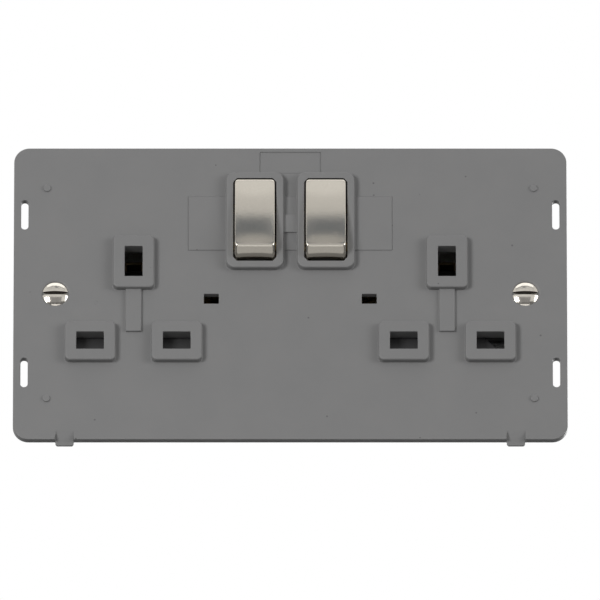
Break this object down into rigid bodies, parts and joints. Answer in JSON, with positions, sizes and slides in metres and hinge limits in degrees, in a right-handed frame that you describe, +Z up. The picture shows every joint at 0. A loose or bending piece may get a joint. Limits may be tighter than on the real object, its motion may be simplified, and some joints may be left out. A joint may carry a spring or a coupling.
{
  "type": "uk twin socket",
  "caption": "Grey insert of a British twin switched socket: plate with raised pin and rocker surrounds, steel-capped rockers, shutters, contacts, terminals and rear housing.",
  "frame": {"origin": "midway between the two fixing screws, on the back face of the plate", "axes": "+X to the right seen from the front, +Y into the wall along the fixing screws, +Z up"},
  "size_m": [0.142, 0.0294, 0.0831],
  "materials": {
    "grey_moulding": "fine matt texture",
    "housing_moulding": "matt",
    "brushed_cap": "brushed",
    "rocker_plastic": "matt",
    "plunger_plastic": "smooth",
    "spring_wire": "drawn wire",
    "silver_tip": "satin",
    "copper_arm": "satin copper",
    "brass_strip": "satin",
    "terminal_brass": "turned",
    "zinc_screw": "zinc plated",
    "nickel_screw": "nickel plated",
    "shutter_plastic": "matt"
  },
  "bodies": {
    "base": {"front_plate": "grey_moulding", "back_housing": "housing_moulding", "live_busbar": "brass_strip", "neutral_busbar": "brass_strip", "earth_strap": "brass_strip", "outlet_contact_left_neutral": "brass_strip", "outlet_contact_left_live": "brass_strip", "outlet_contact_right_neutral": "brass_strip", "outlet_contact_right_live": "brass_strip", "fixed_tip_left_neutral": "silver_tip", "fixed_tip_left_live": "silver_tip", "fixed_tip_right_neutral": "silver_tip", "fixed_tip_right_live": "silver_tip", "earth_socket_left": "brass_strip", "earth_socket_right": "brass_strip", "shutter_spring_left": "spring_wire", "shutter_spring_right": "spring_wire", "fixing_screw_left": "nickel_screw", "fixing_screw_right": "nickel_screw", "terminal_earth": "terminal_brass", "terminal_neutral": "terminal_brass", "terminal_live": "terminal_brass", "terminal_earth_spare": "terminal_brass", "terminal_screw_earth": "zinc_screw", "terminal_screw_neutral": "zinc_screw", "terminal_screw_live": "zinc_screw", "terminal_screw_earth_spare": "zinc_screw", "assembly_screw_left": "zinc_screw", "assembly_screw_right": "zinc_screw"},
    "rocker_left": {"rocker_left": "rocker_plastic", "rocker_cap_left": "brushed_cap", "plunger_spring_left_neutral": "spring_wire", "plunger_spring_left_live": "spring_wire"},
    "plunger_left_neutral": {"plunger_left_neutral": "plunger_plastic"},
    "contact_arm_left_neutral": {"contact_arm_left_neutral": "copper_arm", "moving_tip_left_neutral": "silver_tip"},
    "plunger_left_live": {"plunger_left_live": "plunger_plastic"},
    "contact_arm_left_live": {"contact_arm_left_live": "copper_arm", "moving_tip_left_live": "silver_tip"},
    "shutter_left": {"shutter_left": "shutter_plastic"},
    "rocker_right": {"rocker_right": "rocker_plastic", "rocker_cap_right": "brushed_cap", "plunger_spring_right_neutral": "spring_wire", "plunger_spring_right_live": "spring_wire"},
    "plunger_right_neutral": {"plunger_right_neutral": "plunger_plastic"},
    "contact_arm_right_neutral": {"contact_arm_right_neutral": "copper_arm", "moving_tip_right_neutral": "silver_tip"},
    "plunger_right_live": {"plunger_right_live": "plunger_plastic"},
    "contact_arm_right_live": {"contact_arm_right_live": "copper_arm", "moving_tip_right_live": "silver_tip"},
    "shutter_right": {"shutter_right": "shutter_plastic"}
  },
  "joints": [
    {"name": "rocker_left_tilt", "type": "hinge", "parent": "base", "child": "rocker_left", "pos_m": [-0.00912, 0.00207, 0.02], "axis": [1, 0, 0], "range_deg": [0, 17.7]},
    {"name": "plunger_left_neutral_slide", "type": "slide", "parent": "rocker_left", "child": "plunger_left_neutral", "axis": [0, -0.9881, 0.1538], "range_m": [0, 0.0008], "stiffness_N_per_m": 300, "springref_m": -0.002, "deforming": ["plunger_spring_left_neutral"]},
    {"name": "contact_arm_left_neutral_rock", "type": "hinge", "parent": "base", "child": "contact_arm_left_neutral", "pos_m": [-0.01182, 0.012, 0.02], "axis": [1, 0, 0], "range_deg": [-12, 0]},
    {"name": "plunger_left_live_slide", "type": "slide", "parent": "rocker_left", "child": "plunger_left_live", "axis": [0, -0.9881, 0.1538], "range_m": [0, 0.0008], "stiffness_N_per_m": 300, "springref_m": -0.002, "deforming": ["plunger_spring_left_live"]},
    {"name": "contact_arm_left_live_rock", "type": "hinge", "parent": "base", "child": "contact_arm_left_live", "pos_m": [-0.00642, 0.012, 0.02], "axis": [1, 0, 0], "range_deg": [-12, 0]},
    {"name": "shutter_left_slide", "type": "slide", "parent": "base", "child": "shutter_left", "axis": [0, 0, -1], "range_m": [0, 0.006], "stiffness_N_per_m": 100, "springref_m": -0.006, "deforming": ["shutter_spring_left"]},
    {"name": "rocker_right_tilt", "type": "hinge", "parent": "base", "child": "rocker_right", "pos_m": [0.00912, 0.00207, 0.02], "axis": [1, 0, 0], "range_deg": [0, 17.7]},
    {"name": "plunger_right_neutral_slide", "type": "slide", "parent": "rocker_right", "child": "plunger_right_neutral", "axis": [0, -0.9881, 0.1538], "range_m": [0, 0.0008], "stiffness_N_per_m": 300, "springref_m": -0.002, "deforming": ["plunger_spring_right_neutral"]},
    {"name": "contact_arm_right_neutral_rock", "type": "hinge", "parent": "base", "child": "contact_arm_right_neutral", "pos_m": [0.01182, 0.012, 0.02], "axis": [1, 0, 0], "range_deg": [-12, 0]},
    {"name": "plunger_right_live_slide", "type": "slide", "parent": "rocker_right", "child": "plunger_right_live", "axis": [0, -0.9881, 0.1538], "range_m": [0, 0.0008], "stiffness_N_per_m": 300, "springref_m": -0.002, "deforming": ["plunger_spring_right_live"]},
    {"name": "contact_arm_right_live_rock", "type": "hinge", "parent": "base", "child": "contact_arm_right_live", "pos_m": [0.00642, 0.012, 0.02], "axis": [1, 0, 0], "range_deg": [-12, 0]},
    {"name": "shutter_right_slide", "type": "slide", "parent": "base", "child": "shutter_right", "axis": [0, 0, -1], "range_m": [0, 0.006], "stiffness_N_per_m": 100, "springref_m": -0.006, "deforming": ["shutter_spring_right"]}
  ],
  "couplings": [
    {"joint": "contact_arm_left_neutral_rock", "follows": "rocker_left_tilt", "ratio": -0.67797},
    {"joint": "contact_arm_left_live_rock", "follows": "rocker_left_tilt", "ratio": -0.67797},
    {"joint": "contact_arm_right_neutral_rock", "follows": "rocker_right_tilt", "ratio": -0.67797},
    {"joint": "contact_arm_right_live_rock", "follows": "rocker_right_tilt", "ratio": -0.67797}
  ]
}
